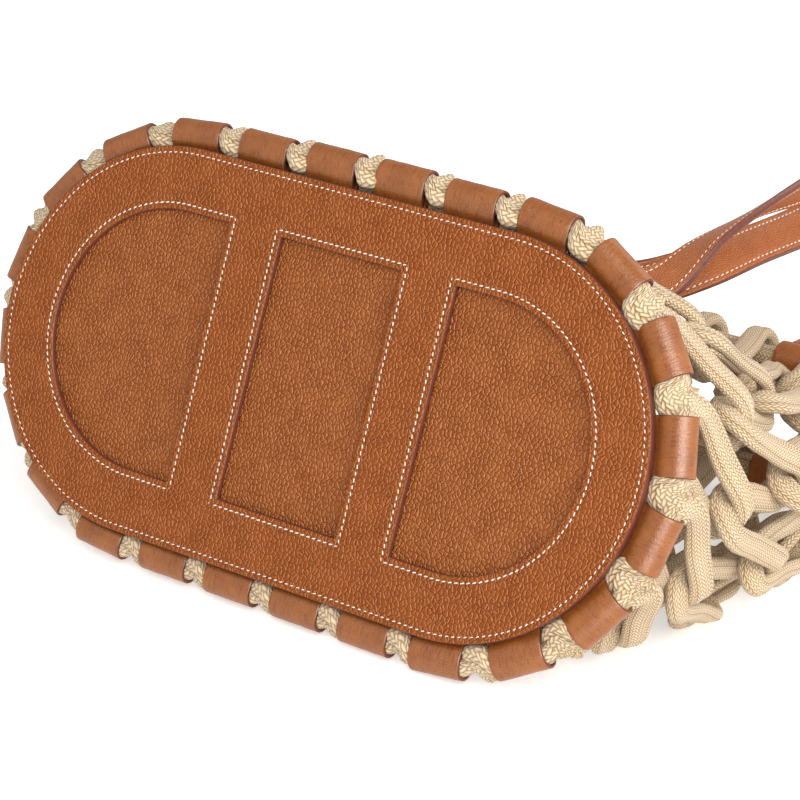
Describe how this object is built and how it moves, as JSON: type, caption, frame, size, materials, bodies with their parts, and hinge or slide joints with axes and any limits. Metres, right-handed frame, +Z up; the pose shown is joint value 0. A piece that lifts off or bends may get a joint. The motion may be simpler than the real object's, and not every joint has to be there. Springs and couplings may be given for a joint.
{
  "type": "rope tote bag",
  "caption": "Open rope net tote bag lying on its side, with a stitched stadium-shaped leather base, leather rim loops, a mouth rope and two leather strap handles.",
  "frame": {"origin": "middle of the bag's footprint on the surface that it lies on", "axes": "+X along the base's long side, +Y from the base back to the mouth and handles, +Z up as the bag lies"},
  "size_m": [0.3722, 0.365, 0.1756],
  "materials": {
    "frame_leather": "pebbled, satin",
    "panel_leather": "pebbled, satin",
    "loop_leather": "creased, satin",
    "strap_leather": "smooth, satin",
    "rope": "braided, matte"
  },
  "bodies": {
    "root": {"base_frame": "frame_leather", "base_panel": "panel_leather", "rim_tab_01": "loop_leather", "rim_tab_02": "loop_leather", "rim_tab_03": "loop_leather", "rim_tab_04": "loop_leather", "rim_tab_05": "loop_leather", "rim_tab_06": "loop_leather", "rim_tab_07": "loop_leather", "rim_tab_08": "loop_leather", "rim_tab_09": "loop_leather", "rim_tab_10": "loop_leather", "rim_tab_11": "loop_leather", "rim_tab_12": "loop_leather", "rim_tab_13": "loop_leather", "rim_tab_14": "loop_leather", "rim_tab_15": "loop_leather", "rim_tab_16": "loop_leather", "rim_tab_17": "loop_leather", "rim_tab_18": "loop_leather", "rim_tab_19": "loop_leather", "rim_tab_20": "loop_leather", "rim_tab_21": "loop_leather", "rim_tab_22": "loop_leather", "rim_tab_23": "loop_leather", "rim_tab_24": "loop_leather", "first_course_a": "rope", "first_course_b": "rope", "course_2": "rope", "course_3": "rope", "course_4": "rope", "course_5": "rope", "mouth_rope": "rope", "mouth_sleeve_1": "loop_leather", "mouth_sleeve_2": "loop_leather", "mouth_sleeve_3": "loop_leather", "mouth_sleeve_4": "loop_leather", "handle_upper": "strap_leather", "handle_lower": "strap_leather"}
  },
  "joints": []
}
